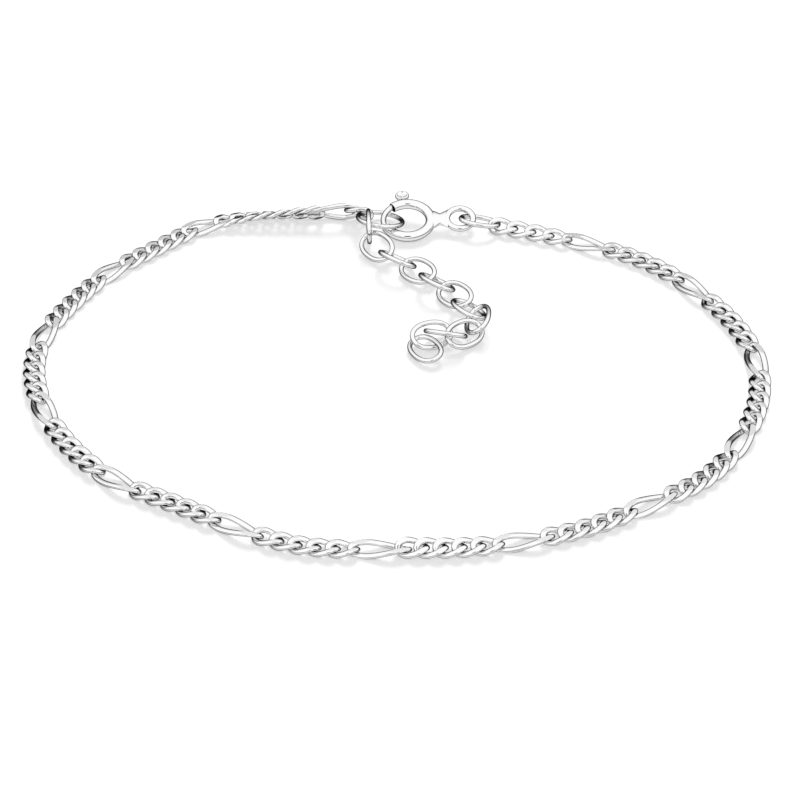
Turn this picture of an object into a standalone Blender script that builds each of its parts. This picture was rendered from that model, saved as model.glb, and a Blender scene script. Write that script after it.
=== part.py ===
"""Figaro chain bracelet, fastened and lying flat, with a spring ring clasp.

Units are metres. X runs to the right, Y away from the viewer, Z up. The
bracelet rests on Z = 0 and the origin is under the middle of its box.
"""
import math

import bmesh
import bpy
import numpy as np

MM = 0.001

# Chain links
CHAIN_WIRE = 0.43 * MM
LINK_WIDTH = 1.98 * MM
SHORT_LINK_LENGTH = 2.51 * MM
LONG_LINK_LENGTH = 5.11 * MM
LONG_LINK_TWIST = 42.0
LONG_LINK_SQUARENESS = 2.4
SHORTS_BETWEEN = 5
LINK_BITE = 0.047 * MM
LINK_STAGGER = 0.10 * MM
LINK_PLAY = 0.06 * MM
HALVES_SLACK = 0.40 * MM
HALVES_ROLL = 15.0

# Plain oval links of the extension chain and the end link
OVAL_WIRE = 0.44 * MM
OVAL_LENGTH = 3.96 * MM
OVAL_WIDTH = 2.80 * MM
OVAL_SQUARENESS = 2.2

# Jump ring
JUMP_RING_WIRE = 0.43 * MM
JUMP_RING_OUTER = 4.59 * MM

# Spring ring clasp
CLASP_OUTER = 5.20 * MM
CLASP_TUBE = 0.92 * MM
BOLT_WIRE = 0.50 * MM
BOLT_CLEARANCE = 0.06 * MM
MOUTH_START = 131.0
MOUTH_END = 205.0
BOLT_TAIL = 58.0
BOLT_REACH = 5.0
BOLT_TRAVEL = 68.0
KNOB_ANGLE = 99.0
KNOB_LENGTH = 1.30 * MM
KNOB_WIDTH = 1.16 * MM
KNOB_THICKNESS = 0.42 * MM
KNOB_CLEARANCE = 0.07 * MM
STEM_WIDTH = 0.30 * MM
EYE_OUTER = 2.99 * MM
EYE_WIRE = 0.53 * MM
EYE_OFFSET = 4.86 * MM
EYE_RISE = 0.23 * MM
EYE_TURN = 5.0
NECK_WAIST_HEIGHT = 1.42 * MM
NECK_WAIST_THICKNESS = 0.78 * MM
CLASP_TILT = 11.0
CLASP_PLACE = (0.70 * MM, 27.22 * MM, 0.86 * MM)

# Mesh fineness
LINK_WIRE_SIDES = 5
SHORT_LINK_SEGMENTS = 10
LONG_LINK_SEGMENTS = 12
OVAL_SEGMENTS = 10
RING_SEGMENTS = 14

# Route of the chain from the clasp's left side round to its right side.
# "long" is the centre of a long link, "bend" only shapes the curve and
# "last" is the centre of the last short link. The shorts column counts the
# short links that follow before the next long link or the last link.
ROUTE_COLUMNS = ("kind", "x_mm", "y_mm", "roll_deg", "shorts")
ROUTE = (
    ("long", -6.35, 28.55, 69.0, SHORTS_BETWEEN + 1),
    ("bend", -12.10, 28.30, 35.0, 0),
    ("long", -17.86, 27.08, 0.0, SHORTS_BETWEEN),
    ("bend", -22.24, 23.59, 0.0, 0),
    ("long", -26.10, 19.83, 0.0, SHORTS_BETWEEN),
    ("bend", -29.22, 15.06, 0.0, 0),
    ("long", -31.45, 9.85, 0.0, SHORTS_BETWEEN),
    ("bend", -31.86, 4.19, 0.0, 0),
    ("long", -30.48, -1.28, 0.0, SHORTS_BETWEEN),
    ("bend", -27.86, -6.31, 0.0, 0),
    ("long", -23.65, -10.93, 0.0, SHORTS_BETWEEN),
    ("bend", -18.48, -14.05, 0.0, 0),
    ("long", -13.45, -17.05, 0.0, SHORTS_BETWEEN),
    ("bend", -7.55, -19.48, 0.0, 0),
    ("long", -1.63, -19.86, 0.0, SHORTS_BETWEEN),
    ("bend", 4.22, -19.80, 0.0, 0),
    ("long", 10.07, -18.81, 0.0, SHORTS_BETWEEN),
    ("bend", 15.53, -16.98, 0.0, 0),
    ("long", 20.67, -13.98, 0.0, SHORTS_BETWEEN),
    ("bend", 25.34, -10.66, 0.0, 0),
    ("long", 28.76, -5.62, 0.0, SHORTS_BETWEEN),
    ("bend", 30.78, -0.07, 0.0, 0),
    ("long", 31.18, 5.81, 0.0, SHORTS_BETWEEN),
    ("bend", 29.61, 11.67, 0.0, 0),
    ("long", 26.44, 16.94, 0.0, SHORTS_BETWEEN),
    ("bend", 22.37, 21.24, 0.0, 0),
    ("long", 17.35, 24.03, 0.0, 3),
    ("last", 9.56, 26.70, -12.0, 0),
)
# The chain is two pieces that meet just after this long link, counted from 1.
LAST_LONG_OF_LEFT = 8

# Loose links and rings as they lie: centre, measured from the clasp's centre,
# then the long axis's heading in the floor plane and its rise, and the roll
# about it.
LOOSE_COLUMNS = ("name", "x_mm", "y_mm", "z_mm", "heading", "rise", "roll")
LEAD_LINK = ("lead_link", -4.52, 1.19, 0.06, -17.6, -2.2, -56.0)
END_LINK = ("end_link", 6.69, 0.01, -0.12, -7.5, -6.6, -16.9)
JUMP_RING = ("jump_ring", -2.53, -0.10, 0.15, -1.2, -7.4, -16.4)
EXTENSION = (
    ("extension_link_01", -3.57, -1.93, 0.62, -87.9, -0.7, 91.1),
    ("extension_link_02", -2.81, -4.50, 0.13, -49.0, -1.3, 36.9),
    ("extension_link_03", -0.94, -6.52, 0.09, -36.1, -2.7, -34.7),
    ("extension_link_04", 0.92, -7.96, -0.16, -45.1, 2.2, 20.1),
    ("extension_link_05", 2.62, -10.11, 0.04, -45.9, 1.5, -31.9),
    ("extension_link_06", 4.23, -11.76, -0.16, -48.9, 2.0, 21.2),
    ("extension_link_07", 5.44, -14.10, -0.11, -52.2, 0.6, -24.0),
    ("extension_link_08", 6.20, -15.95, 0.10, -93.0, 0.0, 35.1),
    ("extension_link_09", 5.00, -17.99, 0.00, -142.1, 0.4, -29.6),
    ("extension_link_10", 3.32, -18.11, 0.12, 169.3, 1.9, 36.1),
    ("extension_link_11", 2.08, -18.21, 0.04, -158.8, 1.2, -32.0),
    ("extension_link_12", 1.53, -19.80, -0.32, -59.2, 1.1, 13.2),
)


def row(columns, values):
    """Returns one table row as a dictionary."""
    return dict(zip(columns, values))


def axes(heading, rise, roll):
    """Returns the long axis, width axis and face axis of a link."""
    h, p, r = (math.radians(v) for v in (heading, rise, roll))
    along = np.array([math.cos(h) * math.cos(p), math.sin(h) * math.cos(p), math.sin(p)])
    level = np.array([-math.sin(h), math.cos(h), 0.0])
    up = np.cross(along, level)
    across = math.cos(r) * level + math.sin(r) * up
    return along, across, np.cross(along, across)


def polygon_scale(sides):
    """Returns how far a polygon's corners stand out to keep a circle's area."""
    return math.sqrt(2 * math.pi / (sides * math.sin(2 * math.pi / sides)))


def wire_radius(wire, sides):
    """Returns the corner radius of a polygon with a round wire's area."""
    return wire / 2 * polygon_scale(sides)


def link_curve(half_length, half_width, squareness, twist, segments):
    """Returns a link's centre line in its own axes, twisted along its length.

    The corners stand a little outside the true curve and the flats a little
    inside it, so that the loop encloses the same area.
    """
    turn = 2 * math.pi * (np.arange(segments) + 0.5) / segments
    cos, sin = np.cos(turn), np.sin(turn)
    x = half_length * np.sign(cos) * np.abs(cos) ** (2 / squareness)
    w = half_width * np.sign(sin) * np.abs(sin) ** (2 / squareness)
    angle = -math.radians(twist) * x / half_length
    return polygon_scale(segments) * np.stack([x, w * np.cos(angle), w * np.sin(angle)], axis=1)


def tube_rings(points, closed, radius, sides, outward):
    """Returns rings of vertices round a line, each turned to face outward."""
    if closed:
        tangent = np.roll(points, -1, axis=0) - np.roll(points, 1, axis=0)
    else:
        tangent = np.gradient(points, axis=0)
    tangent /= np.linalg.norm(tangent, axis=1)[:, None]
    side = outward - (outward * tangent).sum(axis=1)[:, None] * tangent
    side /= np.linalg.norm(side, axis=1)[:, None]
    other = np.cross(tangent, side)
    turn = 2 * math.pi * np.arange(sides) / sides
    return (points[:, None, :]
            + radius * (np.cos(turn)[None, :, None] * side[:, None, :]
                        + np.sin(turn)[None, :, None] * other[:, None, :]))


class Shape:
    """Vertices and faces gathered from tubes and lofts."""

    def __init__(self):
        self.verts = []
        self.faces = []

    def add_rings(self, rings, closed):
        """Adds a tube through rings of vertices, capped unless it closes."""
        start = len(self.verts)
        count, sides = rings.shape[0], rings.shape[1]
        self.verts.extend(map(tuple, rings.reshape(-1, 3)))
        for i in range(count if closed else count - 1):
            a, b = start + i * sides, start + (i + 1) % count * sides
            for j in range(sides):
                k = (j + 1) % sides
                self.faces.append((a + j, a + k, b + k, b + j))
        if not closed:
            self.faces.append(tuple(start + j for j in reversed(range(sides))))
            self.faces.append(tuple(start + (count - 1) * sides + j for j in range(sides)))

    def mesh(self, name):
        """Returns a Blender mesh of triangles that point out."""
        mesh = bpy.data.meshes.new(name)
        mesh.from_pydata(self.verts, [], self.faces)
        work = bmesh.new()
        work.from_mesh(mesh)
        bmesh.ops.recalc_face_normals(work, faces=work.faces)
        bmesh.ops.triangulate(work, faces=work.faces)
        work.to_mesh(mesh)
        work.free()
        return mesh


def smooth_curve(points, samples):
    """Returns a natural cubic spline through points and its stop indices."""
    span = np.linalg.norm(np.diff(points[:, :2], axis=0), axis=1)
    n = len(points)
    system = np.zeros((n, n))
    right = np.zeros((n, points.shape[1]))
    system[0, 0] = system[-1, -1] = 1.0
    for i in range(1, n - 1):
        h0, h1 = span[i - 1], span[i]
        system[i, i - 1:i + 2] = (h0, 2 * (h0 + h1), h1)
        right[i] = 6 * ((points[i + 1] - points[i]) / h1 - (points[i] - points[i - 1]) / h0)
    bend = np.linalg.solve(system, right)
    out = []
    for i in range(n - 1):
        h = span[i]
        t = np.linspace(0, h, samples, endpoint=False)[:, None]
        out.append(bend[i] * (h - t) ** 3 / (6 * h) + bend[i + 1] * t ** 3 / (6 * h)
                   + (points[i] / h - bend[i] * h / 6) * (h - t)
                   + (points[i + 1] / h - bend[i + 1] * h / 6) * t)
    out.append(points[-1:])
    return np.concatenate(out)


def resting_twist(pitch, roll_step):
    """Returns the twist at which two equal links touch along one side.

    The second link is rolled by roll_step degrees more than the first.
    """
    half_length = (SHORT_LINK_LENGTH - CHAIN_WIRE) / 2
    half_width = (LINK_WIDTH - CHAIN_WIRE) / 2
    x = pitch / 2
    width = half_width * math.sqrt(max(1 - (x / half_length) ** 2, 0.01))
    lean = math.asin(min((CHAIN_WIRE - LINK_BITE + LINK_STAGGER) / (2 * width), 0.95))
    return (math.degrees(lean) - roll_step / 2) * half_length / x


def chain_links():
    """Returns every link of the chain as a place along the route."""
    rows = [row(ROUTE_COLUMNS, values) for values in ROUTE]
    points = np.array([[r["x_mm"] * MM, r["y_mm"] * MM] for r in rows])
    samples = 40
    curve = smooth_curve(points, samples)
    length = np.concatenate([[0], np.cumsum(np.linalg.norm(np.diff(curve, axis=0), axis=1))])
    stations = length[np.minimum(np.arange(len(rows)) * samples, len(length) - 1)]
    rolls = [r["roll_deg"] for r in rows]
    half_short = (SHORT_LINK_LENGTH - CHAIN_WIRE) / 2
    half_long = (LONG_LINK_LENGTH - CHAIN_WIRE) / 2
    joint = half_short + half_long - CHAIN_WIRE + LINK_BITE
    stops = [i for i, r in enumerate(rows) if r["kind"] != "bend"]
    links = []

    def place(kind, at, twist, half, turned=0.0):
        x, y = (np.interp(at, length, curve[:, c]) for c in range(2))
        step = CHAIN_WIRE
        dx, dy = (np.interp(at + step, length, curve[:, c]) - np.interp(at - step, length, curve[:, c])
                  for c in range(2))
        links.append({"kind": kind, "x": x, "y": y, "twist": twist,
                      "roll": np.interp(at, stations, rolls) + turned,
                      "heading": math.degrees(math.atan2(dy, dx)), "half": half,
                      "high": (len(links) - (half == "right")) % 2 == 1})

    number = 0
    for here, after in zip(stops, stops[1:]):
        start, end = stations[here], stations[after]
        count = rows[here]["shorts"]
        number += 1
        half = "left" if number <= LAST_LONG_OF_LEFT else "right"
        place("long", start, LONG_LINK_TWIST, half)
        lead = joint - (HALVES_SLACK if number == LAST_LONG_OF_LEFT else 0.0)
        half = "left" if number < LAST_LONG_OF_LEFT else "right"
        if rows[after]["kind"] == "last":
            pitch = (end - start - lead) / count
        else:
            pitch = (end - start - lead - joint) / (count - 1)
            closest = SHORT_LINK_LENGTH / 2 + LINK_PLAY
            if pitch < closest:
                pitch = closest
                lead = (end - start - (count - 1) * pitch) / 2
        turned = HALVES_ROLL if number == LAST_LONG_OF_LEFT else 0.0
        roll_step = (rolls[after] - rolls[here]) * pitch / (end - start) - turned / count
        twist = resting_twist(pitch, roll_step)
        for i in range(count):
            place("short", start + lead + i * pitch, twist, half, turned * (1 - i / count))
        if rows[after]["kind"] == "last":
            place("short", end, twist, half)
    return links


def add_twisted_link(shape, link):
    """Adds one chain link, resting on the floor."""
    long = link["kind"] == "long"
    outer = LONG_LINK_LENGTH if long else SHORT_LINK_LENGTH
    segments = LONG_LINK_SEGMENTS if long else SHORT_LINK_SEGMENTS
    squareness = LONG_LINK_SQUARENESS if long else 2.0
    half_length, half_width = (outer - CHAIN_WIRE) / 2, (LINK_WIDTH - CHAIN_WIRE) / 2
    fine = link_curve(half_length, half_width, squareness, link["twist"], 96)
    local = link_curve(half_length, half_width, squareness, link["twist"], segments)
    along, across, face = axes(link["heading"], 0.0, link["roll"])
    frame = np.stack([along, across, face])
    rest = CHAIN_WIRE / 2 - (fine @ frame)[:, 2].min()
    centre = np.array([link["x"], link["y"], rest]) + (LINK_STAGGER if link["high"] else 0.0) * face
    points = local @ frame
    rings = tube_rings(points, True, wire_radius(CHAIN_WIRE, LINK_WIRE_SIDES), LINK_WIRE_SIDES, points.copy())
    shape.add_rings(rings + centre, True)


def add_loop(shape, table_row, outer_length, outer_width, wire, squareness, twist, segments):
    """Adds one loose link or ring where its table row puts it."""
    at = row(LOOSE_COLUMNS, table_row)
    frame = np.stack(axes(at["heading"], at["rise"], at["roll"]))
    local = link_curve((outer_length - wire) / 2, (outer_width - wire) / 2, squareness, twist, segments)
    points = local @ frame
    rings = tube_rings(points, True, wire_radius(wire, LINK_WIRE_SIDES), LINK_WIRE_SIDES, points.copy())
    centre = np.array(CLASP_PLACE) + np.array([at["x_mm"], at["y_mm"], at["z_mm"]]) * MM
    shape.add_rings(rings + centre, True)


def silver(name, colour, roughness):
    """Returns a polished silver material."""
    material = bpy.data.materials.new(name)
    material.use_nodes = True
    shader = material.node_tree.nodes["Principled BSDF"]
    shader.inputs["Base Color"].default_value = (*colour, 1.0)
    shader.inputs["Metallic"].default_value = 1.0
    shader.inputs["Roughness"].default_value = roughness
    return material


def add_object(name, shape, material, parent):
    """Adds one named object with smooth shading."""
    mesh = shape.mesh(name)
    mesh.shade_smooth()
    mesh.set_sharp_from_angle(angle=math.radians(50))
    mesh.materials.append(material)
    thing = bpy.data.objects.new(name, mesh)
    bpy.context.scene.collection.objects.link(thing)
    thing.parent = parent
    return thing


def add_cutter(name, shape, parent):
    """Adds a hidden tool object for a Boolean."""
    thing = bpy.data.objects.new(name, shape.mesh(name))
    bpy.context.scene.collection.objects.link(thing)
    thing.parent = parent
    thing.hide_render = True
    thing.display_type = "WIRE"
    return thing


def boolean(target, tool, operation):
    """Joins or cuts one object with another by an exact Boolean."""
    modifier = target.modifiers.new(operation.lower(), "BOOLEAN")
    modifier.operation = operation
    modifier.solver = "EXACT"
    modifier.object = tool


def chain_half(half, links, material, parent):
    """Builds one fused half of the chain from its odd and even links."""
    odd, even = Shape(), Shape()
    for link in links:
        if link["half"] == half:
            add_twisted_link(even if link["high"] else odd, link)
    name = "figaro_chain_" + half
    body = add_object(name, odd, material, parent)
    boolean(body, add_cutter(name + "_even_links", even, parent), "UNION")
    return body


def ring_arc(radius, start, end, segments):
    """Returns points of an arc in the clasp's plane, angles in degrees."""
    turn = np.radians(np.linspace(start, end, segments + 1))
    return np.stack([radius * np.cos(turn), radius * np.sin(turn), 0 * turn], axis=1)


def arc_tube(radius, start, end, wire, sides, segments):
    """Returns a capped round bar along an arc in the clasp's plane."""
    points = ring_arc(radius, start, end, segments)
    half_step = math.radians((end - start) / segments) / 2
    points *= 1 / math.cos(half_step) if segments < 12 else 1.0
    shape = Shape()
    shape.add_rings(tube_rings(points, False, wire / 2, sides, points.copy()), False)
    return shape


def oval_disc(centre, direction, length, width, thickness, sides):
    """Returns a flat oval disc with rounded rims; direction is its width axis."""
    radial = np.array([math.cos(direction), math.sin(direction), 0.0])
    around = np.array([-math.sin(direction), math.cos(direction), 0.0])
    turn = 2 * math.pi * np.arange(sides) / sides
    shape = Shape()
    rings = []
    for level, share in ((-0.5, 0.84), (-0.28, 1.0), (0.28, 1.0), (0.5, 0.84)):
        ring = (centre + share * length / 2 * np.cos(turn)[:, None] * around
                + share * width / 2 * np.sin(turn)[:, None] * radial)
        ring[:, 2] += level * thickness
        rings.append(ring)
    shape.add_rings(np.stack(rings), False)
    return shape


def block_loft(stations, sides=8):
    """Returns an oval loft along X through (x, y, half height, half thickness)."""
    turn = 2 * math.pi * (np.arange(sides) + 0.5) / sides
    shape = Shape()
    shape.add_rings(np.stack([
        np.stack([np.full(sides, x), y + h * np.cos(turn), t * np.sin(turn)], axis=1)
        for x, y, h, t in stations]), False)
    return shape


def build_clasp(material, bolt_material, parent):
    """Builds the clasp's tube with neck and eye, and its bolt with the knob."""
    plane = bpy.data.objects.new("clasp_plane", None)
    bpy.context.scene.collection.objects.link(plane)
    plane.parent = parent
    plane.location = CLASP_PLACE
    plane.rotation_euler = (math.radians(CLASP_TILT), 0.0, 0.0)

    middle = (CLASP_OUTER - CLASP_TUBE) / 2
    bore = BOLT_WIRE + 2 * BOLT_CLEARANCE
    tube = arc_tube(middle, MOUTH_END - 360.0, MOUTH_START, CLASP_TUBE, 8, 18)
    ring = add_object("clasp_ring", tube, material, plane)

    eye_middle = (EYE_OUTER - EYE_WIRE) / 2
    eye_centre = np.array([EYE_OFFSET, EYE_RISE, 0.0])
    turn = 2 * math.pi * (np.arange(RING_SEGMENTS) + 0.5) / RING_SEGMENTS
    across = np.array([0.0, math.cos(math.radians(EYE_TURN)), math.sin(math.radians(EYE_TURN))])
    loop = eye_middle * (np.cos(turn)[:, None] * np.array([1.0, 0.0, 0.0]) + np.sin(turn)[:, None] * across)
    eye = Shape()
    eye.add_rings(tube_rings(loop, True, wire_radius(EYE_WIRE, 6), 6, loop.copy()) + eye_centre, True)
    boolean(ring, add_cutter("clasp_eye", eye, plane), "UNION")

    tube_edge = CLASP_OUTER / 2
    eye_edge = EYE_OFFSET - EYE_OUTER / 2
    waist = (tube_edge + eye_edge) / 2
    half_waist, half_thick = NECK_WAIST_HEIGHT / 2, NECK_WAIST_THICKNESS / 2
    neck = block_loft((
        (middle + 0.1 * CLASP_TUBE, 0.0, 1.35 * half_waist, half_thick),
        (tube_edge, 0.1 * EYE_RISE, 1.15 * half_waist, half_thick),
        (waist, 0.4 * EYE_RISE, half_waist, half_thick),
        (eye_edge, 0.8 * EYE_RISE, half_waist, 0.9 * half_thick),
        (eye_edge + 0.85 * EYE_WIRE, EYE_RISE, 0.9 * half_waist, 0.55 * half_thick),
    ))
    boolean(ring, add_cutter("clasp_neck", neck, plane), "UNION")
    overrun = 6.0
    hollow = arc_tube(middle, MOUTH_END - 360.0 - overrun, MOUTH_START + overrun, bore, 8, 18)
    boolean(ring, add_cutter("clasp_bore", hollow, plane), "DIFFERENCE")

    slot_play = math.degrees((STEM_WIDTH / 2 + BOLT_CLEARANCE) / middle)
    slot = Shape()
    slot_half = STEM_WIDTH / 2 + BOLT_CLEARANCE
    reach = CLASP_TUBE * 0.75
    points = ring_arc(middle + reach / 2, KNOB_ANGLE - BOLT_TRAVEL - slot_play, KNOB_ANGLE + slot_play, 6)
    radial = points / np.linalg.norm(points, axis=1)[:, None]
    up = np.array([0.0, 0.0, 1.0])
    corners = [points + radial * a * reach / 2 + up * b * slot_half for a, b in ((-1, -1), (1, -1), (1, 1), (-1, 1))]
    slot.add_rings(np.stack(corners, axis=1), False)
    boolean(ring, add_cutter("clasp_slot", slot, plane), "DIFFERENCE")

    bar = arc_tube(middle, BOLT_TAIL, MOUTH_END + BOLT_REACH, BOLT_WIRE, 8, 11)
    bolt = add_object("clasp_bolt", bar, bolt_material, plane)
    direction = math.radians(KNOB_ANGLE)
    outward = np.array([math.cos(direction), math.sin(direction), 0.0])
    around = np.array([-math.sin(direction), math.cos(direction), 0.0])
    knob_inner = CLASP_OUTER / 2 + KNOB_CLEARANCE
    knob_centre = outward * (knob_inner + KNOB_WIDTH / 2)
    stem = Shape()
    ends = (middle, knob_inner + 0.35 * KNOB_WIDTH)
    rings = []
    for along in ends:
        rings.append([outward * along + around * a * STEM_WIDTH / 2 + up * b * STEM_WIDTH / 2
                      for a, b in ((-1, -1), (-1, 1), (1, 1), (1, -1))])
    stem.add_rings(np.array(rings), False)
    boolean(bolt, add_cutter("bolt_stem", stem, plane), "UNION")
    knob = oval_disc(knob_centre, direction, KNOB_LENGTH, KNOB_WIDTH, KNOB_THICKNESS, 14)
    boolean(bolt, add_cutter("bolt_knob", knob, plane), "UNION")


def seat(parent):
    """Moves the whole bracelet so that its box rests centred on the origin."""
    graph = bpy.context.evaluated_depsgraph_get()
    low, high = np.full(3, np.inf), np.full(3, -np.inf)
    for thing in bpy.data.objects:
        if thing.type != "MESH" or thing.hide_render:
            continue
        finished = thing.evaluated_get(graph)
        points = np.array([finished.matrix_world @ v.co for v in finished.data.vertices])
        low, high = np.minimum(low, points.min(axis=0)), np.maximum(high, points.max(axis=0))
    parent.location = (-(low[0] + high[0]) / 2, -(low[1] + high[1]) / 2, -low[2])


def main():
    """Builds the bracelet."""
    for thing in list(bpy.data.objects):
        bpy.data.objects.remove(thing, do_unlink=True)
    root = bpy.data.objects.new("bracelet", None)
    bpy.context.scene.collection.objects.link(root)

    polished = silver("polished_silver", (0.93, 0.93, 0.94), 0.12)
    drawn = silver("drawn_silver", (0.91, 0.91, 0.92), 0.16)

    links = chain_links()
    for half in ("left", "right"):
        chain_half(half, links, polished, root)

    lead = Shape()
    add_loop(lead, LEAD_LINK, SHORT_LINK_LENGTH, LINK_WIDTH, CHAIN_WIRE, 2.0, 32.0, SHORT_LINK_SEGMENTS)
    add_object("lead_link", lead, polished, root)
    end = Shape()
    add_loop(end, END_LINK, OVAL_LENGTH, OVAL_WIDTH, OVAL_WIRE, OVAL_SQUARENESS, 0.0, OVAL_SEGMENTS)
    add_object("end_link", end, drawn, root)
    jump = Shape()
    add_loop(jump, JUMP_RING, JUMP_RING_OUTER, JUMP_RING_OUTER, JUMP_RING_WIRE, 2.0, 0.0, RING_SEGMENTS)
    add_object("jump_ring", jump, drawn, root)
    for values in EXTENSION:
        loop = Shape()
        add_loop(loop, values, OVAL_LENGTH, OVAL_WIDTH, OVAL_WIRE, OVAL_SQUARENESS, 0.0, OVAL_SEGMENTS)
        add_object(values[0], loop, drawn, root)

    build_clasp(polished, drawn, root)
    seat(root)


if __name__ == "__main__":
    main()
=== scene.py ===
"""Looks of a figaro chain bracelet that lies fastened on a pale table.

The chain is made of twisted oval wire links with filed faces: one long link,
then a run of short ones. A spring ring clasp closes it, and a loose extension
chain of plain oval links hangs on the clasp's jump ring. Lengths are metres
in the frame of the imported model. The laying frame has its zero where the
camera aims, and one small shift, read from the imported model, moves it there.
"""
from __future__ import annotations

import logging
import math
from collections.abc import Iterable
from dataclasses import dataclass, field
from enum import Enum

import bmesh
import bpy
import numpy as np
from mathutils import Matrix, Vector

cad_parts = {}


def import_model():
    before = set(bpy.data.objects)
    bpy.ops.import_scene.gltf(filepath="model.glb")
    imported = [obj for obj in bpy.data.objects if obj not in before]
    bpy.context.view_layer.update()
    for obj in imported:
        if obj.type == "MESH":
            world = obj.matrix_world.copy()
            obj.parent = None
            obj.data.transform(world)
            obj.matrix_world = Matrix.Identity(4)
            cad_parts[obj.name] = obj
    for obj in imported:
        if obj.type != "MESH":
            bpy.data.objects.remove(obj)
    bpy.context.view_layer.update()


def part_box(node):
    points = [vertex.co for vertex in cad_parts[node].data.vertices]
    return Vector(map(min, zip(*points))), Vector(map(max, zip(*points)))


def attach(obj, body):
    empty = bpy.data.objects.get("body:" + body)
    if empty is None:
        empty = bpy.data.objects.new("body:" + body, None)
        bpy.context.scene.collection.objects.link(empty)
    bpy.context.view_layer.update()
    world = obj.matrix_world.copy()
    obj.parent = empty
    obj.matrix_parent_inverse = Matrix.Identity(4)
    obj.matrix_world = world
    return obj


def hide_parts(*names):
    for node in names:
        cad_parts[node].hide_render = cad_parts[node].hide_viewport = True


Tree, Socket = bpy.types.NodeTree, bpy.types.NodeSocket
LOG = logging.getLogger("bracelet")
MM = 0.001

# Edges that turn by more degrees than this stay crisp, by kind of surface.
CRISP_FILED = 30.0
CRISP_CUT = 35.0
CRISP_TUBE = 40.0
CRISP_ROUND = 60.0

# A centre line is drawn this many times finer before it is spaced evenly.
LINE_OVERSAMPLING = 4
# Radius, and share of a section, left where a surface closes to a point.
POLE_RADIUS = 1e-9
POLE_SHARE = 1e-6
# Points that lie closer than this are one point.
MERGE_DISTANCE = 1e-8
# A move along the table leaves the height alone.
LEVEL = np.array([1.0, 1.0, 0.0])


class LinkKind(Enum):
    """The two lengths of link in a figaro chain."""

    SHORT = "short"
    LONG = "long"


class RouteMark(Enum):
    """What a point of the chain's route stands for."""

    LONG = "long"
    BEND = "bend"
    LAST = "last"


class ChainHalf(Enum):
    """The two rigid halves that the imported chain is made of."""

    LEFT = "left"
    RIGHT = "right"


@dataclass(frozen=True)
class RoutePoint:
    """One point of the chain's route, in millimetres, with the roll there."""

    mark: RouteMark
    x: float
    y: float
    roll: float = 0.0
    shorts: int = 0


@dataclass(frozen=True)
class LinkPose:
    """Where a loose link lies: centre from the clasp's, in millimetres, and three turns."""

    x: float
    y: float
    z: float
    heading: float
    rise: float
    roll: float

    def centre(self) -> np.ndarray:
        """Returns the centre in the laying frame, in metres."""
        return (np.array(CLASP_CENTRE) + np.array([self.x, self.y, self.z])) * MM

    def frame(self) -> np.ndarray:
        """Returns the long axis, width axis and face axis as rows."""
        return link_frame(self.heading, self.rise, self.roll)


@dataclass(frozen=True)
class PlacedLink:
    """One link of the chain where it lies on its route."""

    kind: LinkKind
    half: ChainHalf
    x: float
    y: float
    heading: float
    roll: float
    twist: float


LONG, BEND, LAST = RouteMark
CHAIN_ROUTE = (
    RoutePoint(LONG, -6.35, 28.55, 69.0, 6),
    RoutePoint(BEND, -12.10, 28.30, 35.0),
    RoutePoint(LONG, -17.86, 27.08, 0.0, 5),
    RoutePoint(BEND, -22.24, 23.59),
    RoutePoint(LONG, -26.10, 19.83, 0.0, 5),
    RoutePoint(BEND, -29.22, 15.06),
    RoutePoint(LONG, -31.45, 9.85, 0.0, 5),
    RoutePoint(BEND, -31.86, 4.19),
    RoutePoint(LONG, -30.48, -1.28, 0.0, 5),
    RoutePoint(BEND, -27.86, -6.31),
    RoutePoint(LONG, -23.65, -10.93, 0.0, 5),
    RoutePoint(BEND, -18.48, -14.05),
    RoutePoint(LONG, -13.45, -17.05, 0.0, 5),
    RoutePoint(BEND, -7.55, -19.48),
    RoutePoint(LONG, -1.63, -19.86, 0.0, 5),
    RoutePoint(BEND, 4.22, -19.80),
    RoutePoint(LONG, 10.07, -18.81, 0.0, 5),
    RoutePoint(BEND, 15.53, -16.98),
    RoutePoint(LONG, 20.67, -13.98, 0.0, 5),
    RoutePoint(BEND, 25.34, -10.66),
    RoutePoint(LONG, 28.76, -5.62, 0.0, 5),
    RoutePoint(BEND, 30.78, -0.07),
    RoutePoint(LONG, 31.18, 5.81, 0.0, 5),
    RoutePoint(BEND, 29.61, 11.67),
    RoutePoint(LONG, 26.44, 16.94, 0.0, 5),
    RoutePoint(BEND, 22.37, 21.24),
    RoutePoint(LONG, 17.35, 24.03, 0.0, 3),
    RoutePoint(LAST, 9.56, 26.70, -12.0),
)

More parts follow.
